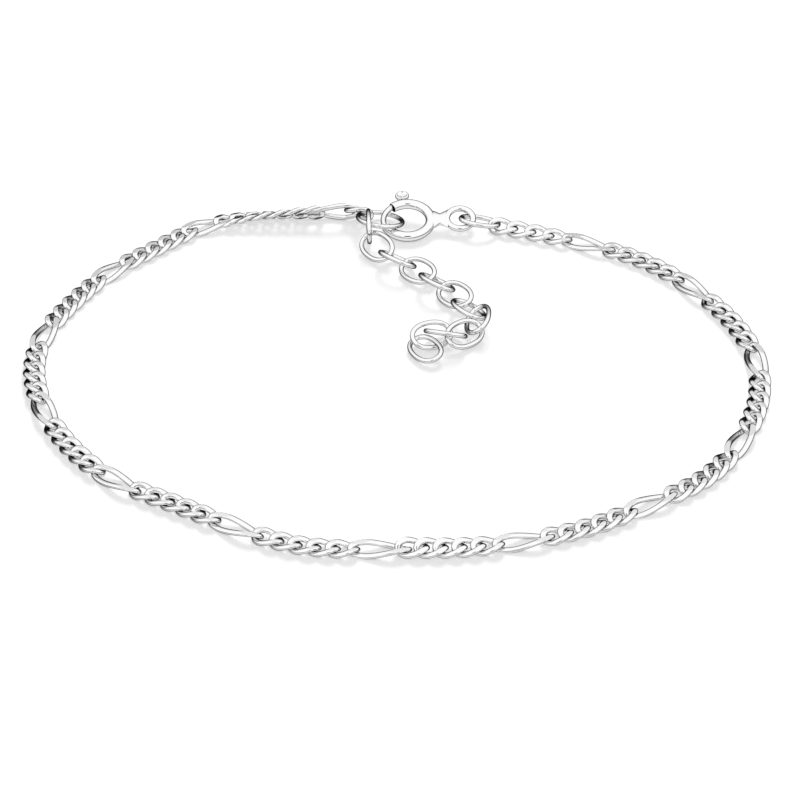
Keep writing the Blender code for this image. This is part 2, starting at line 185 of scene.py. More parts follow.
CLASP_CENTRE = (0.70, 27.22, 0.86)
LEAD_LINK = LinkPose(-4.52, 1.19, 0.06, -17.6, -2.2, -56.0)
END_LINK = LinkPose(6.69, 0.01, -0.12, -7.5, -6.6, -16.9)
JUMP_RING = LinkPose(-2.53, -0.10, 0.15, -1.2, -7.4, -16.4)
EXTENSION_LINKS = (
    LinkPose(-3.57, -1.93, 0.62, -87.9, -0.7, 91.1),
    LinkPose(-2.81, -4.50, 0.13, -49.0, -1.3, 36.9),
    LinkPose(-0.94, -6.52, 0.09, -36.1, -2.7, -34.7),
    LinkPose(0.92, -7.96, -0.16, -45.1, 2.2, 20.1),
    LinkPose(2.62, -10.11, 0.04, -45.9, 1.5, -31.9),
    LinkPose(4.23, -11.76, -0.16, -48.9, 2.0, 21.2),
    LinkPose(5.44, -14.10, -0.11, -52.2, 0.6, -24.0),
    LinkPose(6.20, -15.95, 0.10, -93.0, 0.0, 35.1),
    LinkPose(5.00, -17.99, 0.00, -142.1, 0.4, -29.6),
    LinkPose(3.32, -18.11, 0.12, 169.3, 1.9, 36.1),
    LinkPose(2.08, -18.21, 0.04, -158.8, 1.2, -32.0),
    LinkPose(1.53, -19.80, -0.32, -59.2, 1.1, 13.2),
)


def link_frame(heading: float, rise: float, roll: float) -> np.ndarray:
    """Turns a link's three angles into its axes.

    The long axis points along the heading and up by the rise, and the width
    axis starts level and is turned about the long axis by the roll.

    Args:
        heading: direction of the long axis in the table's plane, degrees.
        rise: how far the long axis points up, degrees.
        roll: turn about the long axis, degrees.

    Returns:
        The long, width and face axes as the rows of a 3 by 3 array.
    """
    h, p, r = np.radians([heading, rise, roll])
    along = np.array([np.cos(h) * np.cos(p), np.sin(h) * np.cos(p), np.sin(p)])
    level = np.array([-np.sin(h), np.cos(h), 0.0])
    up = np.cross(along, level)
    across = np.cos(r) * level + np.sin(r) * up
    return np.stack([along, across, np.cross(along, across)])


def signed_power(value: np.ndarray, exponent: float) -> np.ndarray:
    """Returns |value| to the exponent with the sign of value."""
    return np.sign(value) * np.abs(value) ** exponent


def twisted_oval(half_length: float, half_width: float, squareness: float,
                 twist: float, count: int) -> np.ndarray:
    """Works out the centre line of a link.

    x = a C(t)^(2/m) and w = b S(t)^(2/m), a superellipse whose width is then
    turned about the long axis by an angle that grows evenly along x.

    Args:
        half_length: half the centre line's length, a.
        half_width: half the centre line's width, b.
        squareness: exponent m of the superellipse; 2 is an ellipse.
        twist: turn at the tips, degrees.
        count: number of points.

    Returns:
        Points of the closed centre line in the link's own axes.
    """
    turn = 2 * np.pi * (np.arange(count) + 0.5) / count
    x = half_length * signed_power(np.cos(turn), 2 / squareness)
    width = half_width * signed_power(np.sin(turn), 2 / squareness)
    angle = -np.radians(twist) * x / half_length
    return np.stack([x, width * np.cos(angle), width * np.sin(angle)], axis=1)


def even_steps(line: np.ndarray) -> np.ndarray:
    """Spaces the points of a closed line evenly along its length.

    Args:
        line: points of the closed line.

    Returns:
        As many points on the same line, at equal steps of arc length.
    """
    loop = np.vstack([line, line[:1]])
    length = np.concatenate([[0.0], np.cumsum(np.linalg.norm(np.diff(loop, axis=0), axis=1))])
    stops = np.linspace(0.0, length[-1], len(line), endpoint=False)
    return np.stack([np.interp(stops, length, loop[:, axis]) for axis in range(3)], axis=1)


def link_line(half_length: float, half_width: float, squareness: float,
              twist: float, count: int) -> np.ndarray:
    """Works out a link's centre line with its points evenly spaced.

    Args:
        half_length, half_width, squareness, twist, count: as in twisted_oval.

    Returns:
        Points of the closed centre line in the link's own axes.
    """
    fine = twisted_oval(half_length, half_width, squareness, twist, count * LINE_OVERSAMPLING)
    return even_steps(fine)[::LINE_OVERSAMPLING]


def wire_surface(line: np.ndarray, width: float, height: float, sides: int) -> np.ndarray:
    """Carries an oval section round a closed line about the origin.

    S(i, j) = P(i) + w/2 cos(v) n(i) + h/2 sin(v) t(i) x n(i), where n is the
    direction away from the origin squared off against the tangent t.

    Args:
        line: points of the centre line.
        width: width of the wire in the plane of the line.
        height: height of the wire across that plane.
        sides: points round the wire.

    Returns:
        A grid of points, along the line by round the wire.
    """
    tangent = np.roll(line, -1, axis=0) - np.roll(line, 1, axis=0)
    tangent /= np.linalg.norm(tangent, axis=1, keepdims=True)
    side = line - (line * tangent).sum(axis=1, keepdims=True) * tangent
    side /= np.linalg.norm(side, axis=1, keepdims=True)
    other = np.cross(tangent, side)
    turn = 2 * np.pi * np.arange(sides)[None, :, None] / sides
    return (line[:, None] + width / 2 * np.cos(turn) * side[:, None]
            + height / 2 * np.sin(turn) * other[:, None])


def wire_circle(outer: float, wire: float, steps: int, sides: int) -> np.ndarray:
    """Makes the grid of a circle of round wire about the origin."""
    radius = (outer - wire) / 2
    return wire_surface(twisted_oval(radius, radius, 2.0, 0.0, steps), wire, wire, sides)


def add_object(name: str, data: bpy.types.ID) -> bpy.types.Object:
    """Makes an object of a mesh, lamp or camera and links it to the scene."""
    made = bpy.data.objects.new(name, data)
    bpy.context.scene.collection.objects.link(made)
    return made


class SurfaceMesh:
    """Gathers grids of points into one mesh of quads."""

    def __init__(self) -> None:
        """Starts with no points."""
        self.points: list[np.ndarray] = []
        self.quads: list[np.ndarray] = []
        self.total = 0

    def add(self, grid: np.ndarray, wrap_rows: bool = True, wrap_columns: bool = True) -> None:
        """Adds a grid whose quads run (i, j), (i, j+1), (i+1, j+1), (i+1, j).

        Args:
            grid: points, rows by columns by 3.
            wrap_rows: whether the last row joins the first.
            wrap_columns: whether the last column joins the first.
        """
        rows, columns = grid.shape[:2]
        index = self.total + np.arange(rows * columns).reshape(rows, columns)
        down = np.roll(index, -1, axis=0)
        right = np.roll(index, -1, axis=1)
        both = np.roll(down, -1, axis=1)
        quads = np.stack([index, right, both, down], axis=2)
        quads = quads[: rows if wrap_rows else rows - 1, : columns if wrap_columns else columns - 1]
        self.points.append(grid.reshape(-1, 3))
        self.quads.append(quads.reshape(-1, 4))
        self.total += rows * columns

    def build(self, name: str, crisp: float) -> bpy.types.Object:
        """Makes the object, with its poles merged and its shading smooth.

        Args:
            name: the piece's name.
            crisp: edges that turn by more degrees stay crisp.

        Returns:
            The new object, linked to the scene.
        """
        mesh = bpy.data.meshes.new(name)
        mesh.from_pydata(np.concatenate(self.points), [], np.concatenate(self.quads))
        work = bmesh.new()
        work.from_mesh(mesh)
        bmesh.ops.remove_doubles(work, verts=work.verts, dist=MERGE_DISTANCE)
        bmesh.ops.recalc_face_normals(work, faces=work.faces)
        work.to_mesh(mesh)
        work.free()
        mesh.shade_smooth()
        mesh.set_sharp_from_angle(angle=math.radians(crisp))
        return add_object(name, mesh)


def grid_object(name: str, crisp: float, grid: np.ndarray, wrap_rows: bool = True) -> bpy.types.Object:
    """Makes an object of one grid.

    Args:
        name: the piece's name.
        crisp: edges that turn by more degrees stay crisp.
        grid: points, rows by columns by 3.
        wrap_rows: whether the last row joins the first.

    Returns:
        The new object.
    """
    surface = SurfaceMesh()
    surface.add(grid, wrap_rows)
    return surface.build(name, crisp)


def add_node(tree: Tree, kind: str,
             values: dict[str | int, object] | None = None, **settings: object) -> bpy.types.Node:
    """Adds a shader node.

    Args:
        tree: the node tree.
        kind: the node's type.
        values: constant value of each input that has one, by name or number.
        settings: the node's own settings.

    Returns:
        The new node.
    """
    node = tree.nodes.new(kind)
    for name, value in settings.items():
        setattr(node, name, value)
    for key, value in (values or {}).items():
        node.inputs[key].default_value = value
    return node


def mirrored_apart(tree: Tree, plain: Socket, mirrored: Socket) -> Socket:
    """Gives reflections a shader of their own.

    Args:
        tree: the node tree.
        plain: the shader for everything else.
        mirrored: the shader that reflections show.

    Returns:
        The mixed shader.
    """
    path = add_node(tree, "ShaderNodeLightPath")
    mix = add_node(tree, "ShaderNodeMixShader")
    tree.links.new(path.outputs["Is Glossy Ray"], mix.inputs["Fac"])
    tree.links.new(plain, mix.inputs[1])
    tree.links.new(mirrored, mix.inputs[2])
    return mix.outputs["Shader"]


@dataclass(frozen=True)
class Ramp:
    """A change from one value to another while the input crosses a range."""

    from_min: float
    from_max: float
    to_min: float
    to_max: float
    eased: bool = False

    def apply(self, tree: Tree, source: Socket) -> Socket:
        """Maps a socket's value.

        Args:
            tree: the node tree.
            source: the socket that is mapped.

        Returns:
            The socket with the result.
        """
        node = add_node(tree, "ShaderNodeMapRange",
                        {"From Min": self.from_min, "From Max": self.from_max,
                         "To Min": self.to_min, "To Max": self.to_max},
                        interpolation_type="SMOOTHSTEP" if self.eased else "LINEAR")
        tree.links.new(source, node.inputs["Value"])
        return node.outputs["Result"]


@dataclass(frozen=True)
class Noise:
    """A noise over the object: features to the metre, and how much detail."""

    scale: float
    detail: float

    def apply(self, tree: Tree, place: bpy.types.Node) -> Socket:
        """Adds the noise at an object's own coordinates and returns its socket."""
        node = add_node(tree, "ShaderNodeTexNoise", {"Scale": self.scale, "Detail": self.detail})
        tree.links.new(place.outputs["Object"], node.inputs["Vector"])
        return node.outputs["Fac"]


@dataclass(frozen=True)
class SilverFinish:
    """Polished sterling silver.

    Attributes:
        name: the material's name.
        slot: the record's material slot it stands for; not used.
        colour: reflected colour face on.
        edge: share of the colour left at a grazing angle.
        smooth: roughness of the best polished places.
        worn: roughness of the most handled places.
        ripple: height of the slow unevenness that polishing leaves, metres.
        scratch: height of the fine polishing marks, metres.
        painted_shade_colour: colour of the painted shade where wires touch and close to the table.
        rim: share of the colour left where the wire turns out of sight, a painted shade along the outline.
        painted_rim_start: slant, 0 to 1, at which that painted shade begins.
        painted_rim_end: slant at which it is complete.
        wear_noise, ripple_noise, scratch_noise: how fine each of them is.
        wear_spread: values of the first noise that mean smooth and worn.
        painted_shade_reach: how near another wire or the table brings painted shade onto this one, metres.
        painted_shade_open: shares of open sky that mean closed in, under full painted shade, and free.
        edge_blue: how much bluer the colour is at a grazing angle.
    """

    name: str
    slot: str
    colour: tuple[float, float, float] = (0.95, 0.95, 0.955)
    edge: float = 0.30
    smooth: float = 0.05
    worn: float = 0.13
    ripple: float = 0.0016 * MM
    scratch: float = 0.00008 * MM
    painted_shade_colour: tuple[float, float, float] = (0.06, 0.06, 0.065)
    rim: float = 0.12
    painted_rim_start: float = 0.26
    painted_rim_end: float = 0.66
    wear_noise: Noise = Noise(900.0, 3.0)
    wear_spread: tuple[float, float] = (0.35, 0.70)
    ripple_noise: Noise = Noise(1500.0, 1.0)
    scratch_noise: Noise = Noise(16000.0, 2.0)
    painted_shade_reach: float = 0.28 * MM
    painted_shade_open: tuple[float, float] = (0.04, 0.42)
    edge_blue: float = 1.02

    def bump(self, tree: Tree, noise: Socket, height: float) -> bpy.types.Node:
        """Adds a bump of a height in metres over a noise."""
        node = add_node(tree, "ShaderNodeBump", {"Distance": height, "Strength": 1.0})
        tree.links.new(noise, node.inputs["Height"])
        return node

    def painted_shade_tone(self, tree: Tree) -> Socket:
        """Adds the colour with painted shade: darker where wires touch and near the table, and darker
        towards the outline.
        """
        # Painted shade: ambient occlusion darkens the colour where wires touch and near the table.
        shade = add_node(tree, "ShaderNodeAmbientOcclusion", {"Distance": self.painted_shade_reach}, samples=8)
        painted_shade_tone = add_node(tree, "ShaderNodeValToRGB")
        for element, position, colour in zip(painted_shade_tone.color_ramp.elements, self.painted_shade_open,
                                             (self.painted_shade_colour, self.colour)):
            element.position, element.color = position, (*colour, 1.0)
        tree.links.new(shade.outputs["AO"], painted_shade_tone.inputs["Fac"])
        # Painted shade along the outline: the colour falls as the wire turns from view.
        slant = add_node(tree, "ShaderNodeLayerWeight", {"Blend": 0.5})
        fall = Ramp(self.painted_rim_start, self.painted_rim_end, 1.0, self.rim, eased=True)
        shaded = add_node(tree, "ShaderNodeVectorMath", operation="SCALE")
        tree.links.new(painted_shade_tone.outputs["Color"], shaded.inputs[0])
        tree.links.new(fall.apply(tree, slant.outputs["Facing"]), shaded.inputs["Scale"])
        return shaded.outputs["Vector"]

    def material(self) -> bpy.types.Material:
        """Makes the node material.

        A slow noise moves the roughness between the polished and the worn
        value, and a second one and fine marks give the bump. Painted shade
        darkens the colour where wires touch and close to the table, by ambient
        occlusion. Towards its outline a wire mirrors the dark gap under the
        tent, and painted shade lowers the colour there to stand in for it.

        Returns:
            The material.
        """
        material = bpy.data.materials.new(self.name)
        material.use_nodes = True
        tree = material.node_tree
        shader = tree.nodes["Principled BSDF"]
        shader.inputs["Metallic"].default_value = 1.0
        blue = self.edge * self.edge_blue
        shader.inputs["Specular Tint"].default_value = (self.edge, self.edge, blue, 1.0)
        place = add_node(tree, "ShaderNodeTexCoord")
        rough = Ramp(*self.wear_spread, self.smooth, self.worn)
        tree.links.new(rough.apply(tree, self.wear_noise.apply(tree, place)), shader.inputs["Roughness"])
        slow = self.bump(tree, self.ripple_noise.apply(tree, place), self.ripple)
        fine = self.bump(tree, self.scratch_noise.apply(tree, place), self.scratch)
        tree.links.new(slow.outputs["Normal"], fine.inputs["Normal"])
        tree.links.new(fine.outputs["Normal"], shader.inputs["Normal"])
        tree.links.new(self.painted_shade_tone(tree), shader.inputs["Base Color"])
        return material


POLISHED = SilverFinish("polished_link_silver", "polished_silver",
                        smooth=0.06, worn=0.15, ripple=0.0025 * MM)
# The clasp's painted shade is a little darker, and its painted outline shade starts later.
CAST = SilverFinish("clasp_silver", "polished_silver", worn=0.12, scratch=0.00006 * MM,
                    painted_shade_colour=(0.05, 0.05, 0.055), rim=0.10, painted_rim_start=0.36, painted_rim_end=0.76)
DRAWN = SilverFinish("drawn_wire_silver", "drawn_silver", colour=(0.94, 0.94, 0.945))


@dataclass
class Bench:
    """Puts finished pieces on their bodies and dresses them."""

    shift: np.ndarray
    materials: dict[str, bpy.types.Material] = field(default_factory=dict)

    def finish(self, piece: bpy.types.Object, finish: SilverFinish, body: str, *nodes: str) -> None:
        """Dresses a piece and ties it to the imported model.

        Args:
            piece: the finished object.
            finish: its silver.
            body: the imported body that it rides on.
            nodes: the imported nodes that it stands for.
        """
        if finish.name not in self.materials:
            self.materials[finish.name] = finish.material()
        piece.data.materials.clear()
        piece.data.materials.append(self.materials[finish.name])
        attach(piece, body)
        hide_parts(*nodes)
        LOG.info("%s: %d faces on %s", piece.name, len(piece.data.polygons), body)


@dataclass
class FigaroChain:
    """The twisted link chain, laid along its route."""

    wire: float = 0.54 * MM
    wire_height: float = 0.42 * MM
    width: float = 1.98 * MM
    short_length: float = 2.90 * MM
    long_length: float = 5.30 * MM
    long_twist: float = 42.0
    long_squareness: float = 2.4
    short_squareness: float = 2.1
    play: float = 0.06 * MM
    halves_slack: float = 0.40 * MM
    halves_roll: float = 15.0
    last_long_of_left: int = 8
    filed_height: float = 0.36 * MM
    lead_twist: float = 34.0
    touch: float = 1.02
    most_lean: float = 0.95
    least_width: float = 0.1
    short_steps: int = 64
    long_steps: int = 96
    span_steps: int = 40
    sides: int = 24

    def half_line(self, kind: LinkKind) -> tuple[float, float, float]:
        """Returns half length, half width and squareness of a centre line."""
        outer = self.long_length if kind is LinkKind.LONG else self.short_length
        squareness = self.long_squareness if kind is LinkKind.LONG else self.short_squareness
        return (outer - self.wire) / 2, (self.width - self.wire) / 2, squareness

    def resting_twist(self, pitch: float, roll_step: float) -> float:
        """Finds the twist at which equal neighbours just touch.

        Midway between two links their sides are 2 w sin(twist there) apart,
        which has to equal the wire's height, and a little more to clear it.

        Args:
            pitch: distance between the centres.
            roll_step: how much more the second link is rolled, degrees.

        Returns:
            The turn at a link's tips, degrees.
        """
        half_length, half_width, _ = self.half_line(LinkKind.SHORT)
        x = pitch / 2
        width = half_width * math.sqrt(max(1 - (x / half_length) ** 2, self.least_width ** 2))
        lean = math.degrees(math.asin(min(self.touch * self.wire_height / (2 * width), self.most_lean)))
        return (lean - roll_step / 2) * half_length / x

    def route_curve(self) -> np.ndarray:
        """Draws a natural cubic spline through the route's points.

        The second derivatives M solve the usual three-term equations, with
        none at either end, and each span is the cubic that they give.

        Returns:
            Points of the curve in the table's plane.
        """
        points = np.array([(p.x, p.y) for p in CHAIN_ROUTE]) * MM
        span = np.linalg.norm(np.diff(points, axis=0), axis=1)
        count = len(points)
        system = np.zeros((count, count))
        inner = np.arange(1, count - 1)
        system[0, 0] = system[-1, -1] = 1.0
        system[inner, inner - 1] = span[:-1]
        system[inner, inner] = 2 * (span[:-1] + span[1:])
        system[inner, inner + 1] = span[1:]
        slope = np.diff(points, axis=0) / span[:, None]
        right = np.zeros((count, 2))
        right[1:-1] = 6 * np.diff(slope, axis=0)
        bend = np.linalg.solve(system, right)
        h = span[:, None, None]
        t = np.linspace(0, 1, self.span_steps, endpoint=False)[None, :, None] * h
        low, high = points[:-1, None], points[1:, None]
        start, end = bend[:-1, None], bend[1:, None]
        curve = (start * (h - t) ** 3 / (6 * h) + end * t ** 3 / (6 * h)
                 + (low / h - start * h / 6) * (h - t) + (high / h - end * h / 6) * t)
        return np.vstack([curve.reshape(-1, 2), points[-1:]])

    def links(self) -> list[PlacedLink]:
        """Lays every link of the chain along the route.

        Returns:
            The links in order, from the clasp's left side to its right side.
        """
        curve = self.route_curve()
        length = np.concatenate([[0.0], np.cumsum(np.linalg.norm(np.diff(curve, axis=0), axis=1))])
        stations = length[np.minimum(np.arange(len(CHAIN_ROUTE)) * self.span_steps, len(length) - 1)]
        rolls = [p.roll for p in CHAIN_ROUTE]
        half_short, half_long = self.half_line(LinkKind.SHORT)[0], self.half_line(LinkKind.LONG)[0]
        joint = half_short + half_long - self.wire
        placed: list[PlacedLink] = []

        def lay(kind: LinkKind, at: float, twist: float, half: ChainHalf, turned: float = 0.0) -> None:
            """Adds one link at a distance along the route."""
            behind, here, ahead = (np.array([np.interp(stop, length, curve[:, axis]) for axis in range(2)])
                                   for stop in (at - self.wire, at, at + self.wire))
            (x, y), (dx, dy) = here.tolist(), (ahead - behind).tolist()
            roll = float(np.interp(at, stations, rolls)) + turned
            placed.append(PlacedLink(kind, half, x, y, math.degrees(math.atan2(dy, dx)), roll, twist))

        stops = [i for i, p in enumerate(CHAIN_ROUTE) if p.mark is not BEND]
        for number, (here, after) in enumerate(zip(stops, stops[1:]), start=1):
            start, end = stations[here], stations[after]
            count = CHAIN_ROUTE[here].shorts
            to_last = CHAIN_ROUTE[after].mark is LAST
            lay(LinkKind.LONG, start, self.long_twist,
                ChainHalf.LEFT if number <= self.last_long_of_left else ChainHalf.RIGHT)
            half = ChainHalf.LEFT if number < self.last_long_of_left else ChainHalf.RIGHT
            at_halves = number == self.last_long_of_left
            lead = joint - (self.halves_slack if at_halves else 0.0)
            if to_last:
                pitch = (end - start - lead) / count
            else:
                pitch = (end - start - lead - joint) / (count - 1)
                closest = self.short_length / 2 + self.play
                if pitch < closest:
                    pitch = closest
                    lead = (end - start - (count - 1) * pitch) / 2
            turned = self.halves_roll if at_halves else 0.0
            step = (rolls[after] - rolls[here]) * pitch / (end - start) - turned / count
            twist = self.resting_twist(pitch, step)
            for i in range(count):
                lay(LinkKind.SHORT, start + lead + i * pitch, twist, half, turned * (1 - i / count))
            if to_last:
                lay(LinkKind.SHORT, end, twist, half)
        return placed

    def link_surface(self, kind: LinkKind, twist: float, filed: bool = True) -> np.ndarray:
        """Makes one link in its own axes.

        The wire surface is cut off at a fixed height on both faces, which
        leaves the flats that filing the finished chain gives.

        Args:
            kind: short or long.
            twist: turn at the tips, degrees.
            filed: whether the faces are filed.

        Returns:
            The grid of the link's surface.
        """
        half_length, half_width, squareness = self.half_line(kind)
        steps = self.long_steps if kind is LinkKind.LONG else self.short_steps
        line = link_line(half_length, half_width, squareness, twist, steps)
        grid = wire_surface(line, self.wire, self.wire_height, self.sides)
        if filed:
            grid[..., 2] = np.clip(grid[..., 2], -self.filed_height, self.filed_height)
        return grid

    def lay_link(self, link: PlacedLink, shift: np.ndarray) -> np.ndarray:
        """Places one link so that its lowest point rests on the table.

        Args:
            link: the link and its place.
            shift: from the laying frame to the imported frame.

        Returns:
            The placed grid.
        """
        grid = self.link_surface(link.kind, link.twist) @ link_frame(link.heading, 0.0, link.roll)
        return grid + np.array([link.x, link.y, -grid[..., 2].min()]) + shift * LEVEL

    def build(self, bench: Bench) -> None:
        """Builds both halves and the first loose link of the chain."""
        placed = self.links()
        for half in ChainHalf:
            surface = SurfaceMesh()
            for link in placed:
                if link.half is half:
                    surface.add(self.lay_link(link, bench.shift))
            piece = surface.build(f"chain_links_{half.value}", CRISP_FILED)
            bench.finish(piece, POLISHED, "bracelet", f"figaro_chain_{half.value}")
        grid = self.link_surface(LinkKind.SHORT, self.lead_twist, filed=False) @ LEAD_LINK.frame()
        lead = grid_object("first_chain_link", CRISP_ROUND, grid + LEAD_LINK.centre() + bench.shift)
        bench.finish(lead, POLISHED, "bracelet", "lead_link")


@dataclass
class OvalWireLinks:
    """The plain oval links: the end link and the extension chain."""

    wire: float = 0.44 * MM
    length: float = 3.96 * MM
    width: float = 2.80 * MM
    squareness: float = 2.2
    steps: int = 128
    sides: int = 24

    def surface(self, pose: LinkPose, shift: np.ndarray) -> np.ndarray:
        """Makes one placed oval link.

        Args:
            pose: where it lies.
            shift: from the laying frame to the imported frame.

        Returns:
            The grid of its surface.
        """
        line = link_line((self.length - self.wire) / 2, (self.width - self.wire) / 2,
                         self.squareness, 0.0, self.steps)
        grid = wire_surface(line, self.wire, self.wire, self.sides)
        return grid @ pose.frame() + pose.centre() + shift

    def build(self, bench: Bench) -> None:
        """Builds the end link and every link of the extension chain."""
        named = [("end_oval_link", "end_link", END_LINK)]
        named += [(f"extension_oval_{i:02d}", f"extension_link_{i:02d}", pose)
                  for i, pose in enumerate(EXTENSION_LINKS, start=1)]
        for name, node, pose in named:
            piece = grid_object(name, CRISP_ROUND, self.surface(pose, bench.shift))
            bench.finish(piece, DRAWN, "bracelet", node)


@dataclass
class RoundJumpRing:
    """The round ring that joins the chain, the clasp and the extension."""

    wire: float = 0.43 * MM
    outer: float = 4.59 * MM
    steps: int = 144
    sides: int = 24

    def build(self, bench: Bench) -> None:
        """Builds the ring: a circle of wire about its own centre."""
        grid = wire_circle(self.outer, self.wire, self.steps, self.sides) @ JUMP_RING.frame()
        piece = grid_object("round_jump_ring", CRISP_ROUND, grid + JUMP_RING.centre() + bench.shift)
        bench.finish(piece, DRAWN, "bracelet", "jump_ring")


@dataclass(frozen=True)
class NeckStation:
    """One section of the clasp's neck: its place, and its half sizes in millimetres."""

    x: float
    half_height: float
    half_thickness: float


@dataclass
class SpringRingClasp:
    """The clasp: a hollow ring of tube, its eye, and the sprung bolt inside.

    Angles run round the ring from the neck. The knob's profile holds shares
    of its half width and half thickness.
    """

    outer: float = 5.20 * MM
    tube: float = 0.92 * MM
    bolt_wire: float = 0.52 * MM
    bolt_lean: float = 0.10 * MM
    bore: float = 0.76 * MM
    slot_play: float = 0.06 * MM
    mouth_start: float = 131.0
    mouth_end: float = 205.0
    bolt_tail: float = 58.0
    bolt_reach: float = 5.0
    bolt_travel: float = 68.0
    knob_angle: float = 99.0
    knob_length: float = 1.30 * MM
    knob_width: float = 1.16 * MM
    knob_thickness: float = 0.42 * MM
    knob_clearance: float = 0.07 * MM
    knob_profile: tuple[tuple[float, float], ...] = (
        (0.00, -1.0), (0.78, -1.0), (0.92, -0.8), (0.99, -0.4), (1.00, 0.0), (0.98, 0.4), (0.92, 0.75),
        (0.82, 0.97), (0.75, 1.0), (0.69, 0.9), (0.63, 0.62), (0.56, 0.50), (0.00, 0.50))
    stem: float = 0.30 * MM
    eye_outer: float = 2.99 * MM
    eye_wire: float = 0.58 * MM
    eye_offset: float = 4.86 * MM
    eye_rise: float = 0.23 * MM
    eye_turn: float = 5.0
    lip: float = 0.05 * MM
    tilt: float = 11.0
    slot_height: float = 0.75
    stem_reach: float = 0.3
    ring_steps: int = 150
    ring_sides: int = 36
    lip_steps: int = 9
    eye_steps: int = 96
    wire_sides: int = 28
    neck_steps: int = 40
    neck_sides: int = 32
    bore_steps: int = 144
    slot_steps: int = 40
    bar_steps: int = 110
    end_steps: int = 7
    stem_sides: int = 20
    knob_sides: int = 64

    @property
    def middle(self) -> float:
        """Radius of the ring's middle line."""
        return (self.outer - self.tube) / 2

    def place(self, grid: np.ndarray, shift: np.ndarray) -> np.ndarray:
        """Moves points from the clasp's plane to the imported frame.

        Args:
            grid: points with the ring's centre at zero and its axis on Z.
            shift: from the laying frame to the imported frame.

        Returns:
            The placed points.
        """
        lean = math.radians(self.tilt)
        axes = np.array([[1.0, 0.0, 0.0],
                         [0.0, math.cos(lean), math.sin(lean)],
                         [0.0, -math.sin(lean), math.cos(lean)]])
        return grid @ axes + np.array(CLASP_CENTRE) * MM + shift

    def bent_tube(self, angles: np.ndarray, radii: np.ndarray, sides: int,
                  lean: float = 0.0) -> np.ndarray:
        """Carries circles of changing radius round the ring's middle line.

        S = R e(a) + r cos(v) e(a) + r sin(v) t(a) x e(a), where e points
        from the centre at the angle a and t is the tangent there.

        Args:
            angles: angle of each circle, degrees.
            radii: radius of each circle.
            sides: points round a circle.
            lean: how far outside the ring's middle line the circles run.

        Returns:
            The grid of the surface.
        """
        a = np.radians(angles)[:, None, None]
        v = (2 * np.pi * np.arange(sides) / sides)[None, :, None]
        out = np.concatenate([np.cos(a), np.sin(a), 0 * a], axis=2)
        down = np.array([0.0, 0.0, -1.0])
        r = radii[:, None, None]
        return (self.middle + lean) * out + r * (np.cos(v) * out + np.sin(v) * down)

    def hollow_ring(self) -> np.ndarray:
        """Makes the tube: outside, round the lip, and back through the bore."""
        start, end = self.mouth_end - 360.0, self.mouth_start
        outer, bore = self.tube / 2, self.bore / 2
        turn = np.linspace(0.0, np.pi, self.lip_steps)[1:-1]
        reach = math.degrees(self.lip / self.middle)
        half = (outer - bore) / 2
        lip_angle, lip_radius = reach * np.sin(turn), (outer + bore) / 2 + half * np.cos(turn)
        run = np.linspace(start + reach, end - reach, self.ring_steps)
        angles = np.concatenate([run, end - reach + lip_angle, run[::-1], start + reach - lip_angle])
        radii = np.concatenate([np.full(self.ring_steps, outer), lip_radius,
                                np.full(self.ring_steps, bore), lip_radius[::-1]])
        return self.bent_tube(angles, radii, self.ring_sides)

    def eye(self) -> np.ndarray:
        """Makes the closed eye: a circle of wire beside the ring."""
        grid = wire_circle(self.eye_outer, self.eye_wire, self.eye_steps, self.wire_sides)
        return grid @ link_frame(0.0, 0.0, self.eye_turn) + np.array([self.eye_offset, self.eye_rise, 0.0])

    def neck(self) -> np.ndarray:
        """Makes the solder neck between ring and eye.

        An oval section runs along X; its height narrows to the waist and
        its thickness thins towards the eye, both as smooth curves through
        a few stations. It starts inside the tube, so the bore has to be cut
        out of it.

        Returns:
            The grid of the neck, closed at both ends.
        """
        ring_edge, eye_edge = self.outer / 2, self.eye_offset - self.eye_outer / 2
        stations = (
            NeckStation(ring_edge - 0.95 * self.tube, 1.40, 0.20),
            NeckStation(ring_edge - 0.45 * self.tube, 1.20, 0.38),
            NeckStation(ring_edge, 0.98, 0.40),
            NeckStation((ring_edge + eye_edge) / 2, 0.66, 0.37),
            NeckStation(eye_edge, 0.92, 0.33),
            NeckStation(eye_edge + 0.75 * self.eye_wire, 1.22, 0.20),
        )
        places = [s.x for s in stations]
        x = np.linspace(places[0], places[-1], self.neck_steps)
        kernel = np.array([1, 4, 6, 4, 1]) / 16
        height, thick = (
            np.convolve(np.pad(np.interp(x, places, sizes) * MM, 2, mode="edge"), kernel, mode="valid")
            for sizes in ([s.half_height for s in stations], [s.half_thickness for s in stations]))
        for size in (height, thick):
            size[[0, -1]] *= POLE_SHARE
        rise = np.linspace(0.0, self.eye_rise, self.neck_steps)
        turn = 2 * np.pi * np.arange(self.neck_sides) / self.neck_sides
        y = rise[:, None] + height[:, None] * np.cos(turn)
        z = thick[:, None] * np.sin(turn)
        return np.stack([np.repeat(x[:, None], self.neck_sides, axis=1), y, z], axis=2)[:, ::-1]

    def bore_tool(self, shift: np.ndarray) -> bpy.types.Object:
        """Makes the tool that keeps the neck out of the bore: a whole ring to mid wall."""
        angles = np.linspace(0.0, 360.0, self.bore_steps, endpoint=False)
        radii = np.full(self.bore_steps, (self.tube + self.bore) / 4)
        return grid_object("bore_tool", CRISP_FILED,
                           self.place(self.bent_tube(angles, radii, self.neck_sides), shift))

